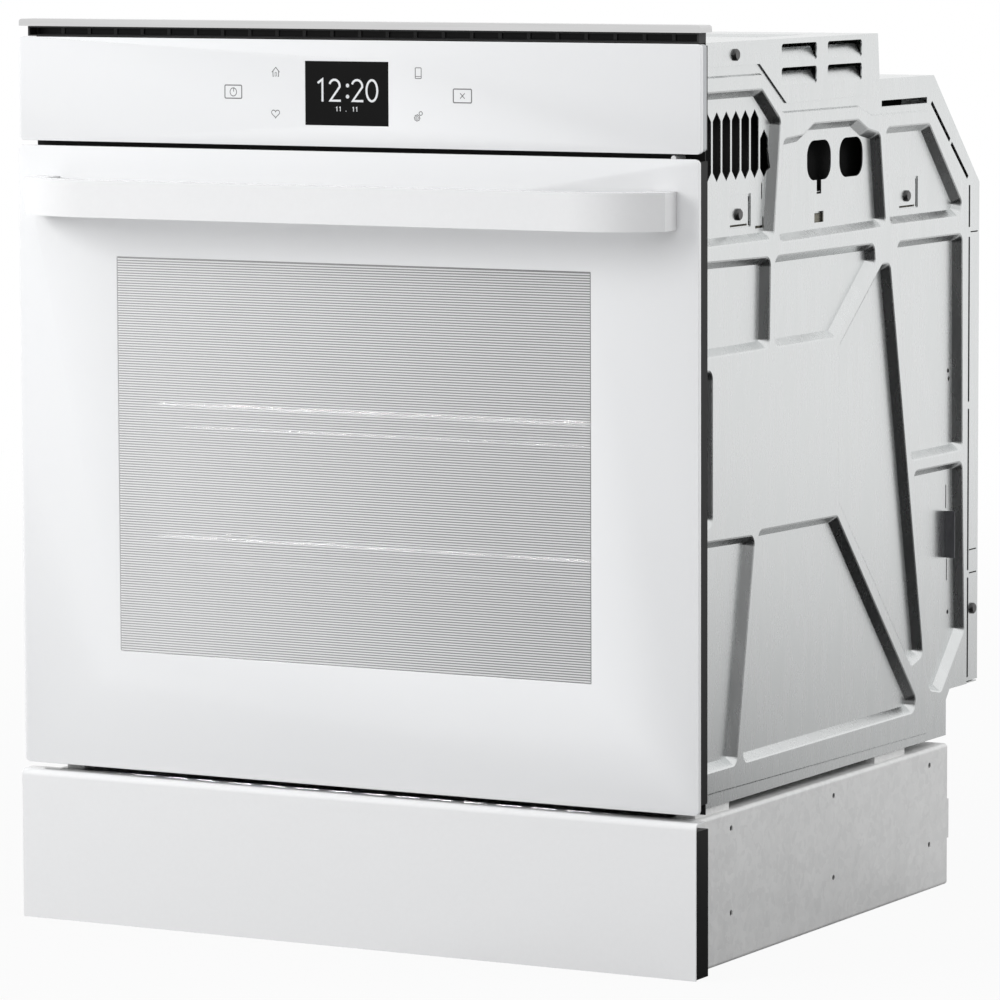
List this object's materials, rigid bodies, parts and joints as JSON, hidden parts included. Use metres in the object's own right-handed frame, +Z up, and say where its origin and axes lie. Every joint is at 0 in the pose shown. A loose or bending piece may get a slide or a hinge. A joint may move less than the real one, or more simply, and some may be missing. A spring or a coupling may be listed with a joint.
{
  "type": "wall oven",
  "caption": "Built-in wall oven with a white glass drop-down door, curved bar handle, touch control panel, wire racks, convection fan and a galvanised chassis on a filler box.",
  "frame": {"origin": "middle of the footprint's bounding box, on the floor under the filler box", "axes": "+X to the oven's right seen from its own back, that is to the viewer's right from the front; +Y from the door to the back; +Z up"},
  "size_m": [0.595, 0.5866, 0.706],
  "materials": {
    "galvanised_side": "smooth hot-dip galvanised sheet",
    "galvanised_back": "smooth hot-dip galvanised sheet",
    "galvanised_base": "smooth hot-dip galvanised sheet",
    "galvanised_deck": "smooth hot-dip galvanised sheet",
    "galvanised_duct": "smooth hot-dip galvanised sheet",
    "galvanised_filler": "galvanised sheet with a visible spangle",
    "front_frame_steel": "black enamelled steel",
    "enamel": "speckled dark enamel",
    "mineral_wool": "needled mineral wool",
    "gasket": "woven glass-fibre seal",
    "chrome_wire": "plated wire",
    "chrome_rack": "plated wire",
    "element_steel": "oxidised heater sheath",
    "baffle_enamel": "speckled dark enamel",
    "fan_aluminium": "stamped sheet",
    "motor_steel": "laminated steel and zinc",
    "lamp_steel": "zinc-plated",
    "lamp_glass": "clear ribbed glass",
    "bulb_glass": "clear capsule",
    "sensor_steel": "drawn stainless",
    "cutout_body": "unglazed ceramic",
    "blower_steel": "galvanised sheet",
    "impeller_plastic": "moulded",
    "circuit_board": "printed board",
    "terminal_steel": "galvanised sheet",
    "white_glass": "back-painted white glass",
    "light_grey_plastic": "moulded, fine texture",
    "black_plastic": "moulded",
    "display_black": "black display film",
    "vent_black": "moulded",
    "trim_aluminium": "satin anodised",
    "white_door_glass": "white-printed glass with a striped window",
    "door_frame_black": "satin black paint",
    "door_liner_black": "satin black paint",
    "clear_glass": "clear heat-reflecting glass",
    "inner_glass": "clear glass with a dark printed border",
    "silicone": "moulded silicone",
    "handle_white": "white painted die-cast metal",
    "stud_steel": "zinc-plated",
    "hinge_steel": "zinc-plated steel",
    "pin_steel": "turned steel",
    "switch_plastic": "moulded",
    "plunger_white": "moulded",
    "filler_white": "glossy white paint",
    "filler_frame_black": "satin black paint",
    "spacer_steel": "zinc-plated",
    "screw_steel": "zinc-plated pan heads",
    "clip_steel": "zinc-plated sheet"
  },
  "bodies": {
    "chassis": {"side_panel_left": "galvanised_side", "side_panel_right": "galvanised_side", "rear_cover": "galvanised_back", "base_plate": "galvanised_base", "top_plate": "galvanised_deck", "cooling_duct_cover": "galvanised_duct", "front_frame": "front_frame_steel", "oven_cavity": "enamel", "insulation_blanket": "mineral_wool", "door_gasket": "gasket", "rack_supports": "chrome_wire", "broil_element": "element_steel", "bake_element": "element_steel", "convection_element": "element_steel", "convection_baffle": "baffle_enamel", "convection_motor": "motor_steel", "lamp_housing": "lamp_steel", "lamp_lens": "lamp_glass", "lamp_bulb": "bulb_glass", "temperature_sensor": "sensor_steel", "thermal_cutout": "cutout_body", "blower_housing": "blower_steel", "blower_motor": "motor_steel", "power_board": "circuit_board", "control_board": "circuit_board", "terminal_box": "terminal_steel", "control_glass": "white_glass", "control_frame": "light_grey_plastic", "control_carrier": "black_plastic", "display_screen": "display_black", "vent_channel": "vent_black", "top_trim": "trim_aluminium", "hinge_claws": "hinge_steel", "hinge_receivers": "hinge_steel", "door_switch": "switch_plastic", "filler_panel": "filler_white", "filler_frame": "filler_frame_black", "filler_box": "galvanised_filler", "filler_spacers": "spacer_steel", "chassis_screws": "screw_steel", "filler_screws": "screw_steel", "side_clips": "clip_steel"},
    "door": {"door_outer_glass": "white_door_glass", "door_frame_left": "door_frame_black", "door_frame_right": "door_frame_black", "door_top_rail": "door_frame_black", "door_bottom_rail": "door_frame_black", "door_liner": "door_liner_black", "door_middle_glass": "clear_glass", "door_inner_glass": "inner_glass", "glass_spacers": "silicone", "door_handle": "handle_white", "handle_studs": "stud_steel", "hinge_bodies": "hinge_steel", "hinge_pins": "pin_steel"},
    "upper_rack": {"rack_upper": "chrome_rack"},
    "lower_rack": {"rack_lower": "chrome_rack"},
    "convection_fan": {"convection_fan": "fan_aluminium"},
    "cooling_impeller": {"cooling_impeller": "impeller_plastic"},
    "switch_plunger": {"switch_plunger": "plunger_white"}
  },
  "joints": [
    {"name": "door_hinge", "type": "hinge", "parent": "chassis", "child": "door", "pos_m": [0, -0.2393, 0.132], "axis": [1, 0, 0], "range_deg": [0, 90], "stiffness_Nm_per_rad": 8, "springref_deg": -34.38},
    {"name": "lower_rack_slide", "type": "slide", "parent": "chassis", "child": "lower_rack", "axis": [0, -1, 0], "range_m": [0, 0.22]},
    {"name": "upper_rack_slide", "type": "slide", "parent": "chassis", "child": "upper_rack", "axis": [0, -1, 0], "range_m": [0, 0.25]},
    {"name": "convection_fan_spin", "type": "hinge", "parent": "chassis", "child": "convection_fan", "pos_m": [0, 0.1827, 0.358], "axis": [0, 1, 0], "continuous": true},
    {"name": "cooling_impeller_spin", "type": "hinge", "parent": "chassis", "child": "cooling_impeller", "pos_m": [0, 0.0077, 0.63], "axis": [0, 0, 1], "continuous": true},
    {"name": "switch_plunger_slide", "type": "slide", "parent": "chassis", "child": "switch_plunger", "axis": [0, -1, 0], "range_m": [0, 0.005]}
  ],
  "couplings": [
    {"joint": "lower_rack_slide", "follows": "door_hinge", "m_per_rad": 0.14},
    {"joint": "upper_rack_slide", "follows": "door_hinge", "m_per_rad": 0.159},
    {"joint": "switch_plunger_slide", "follows": "door_hinge", "m_per_rad": 0.00318}
  ]
}
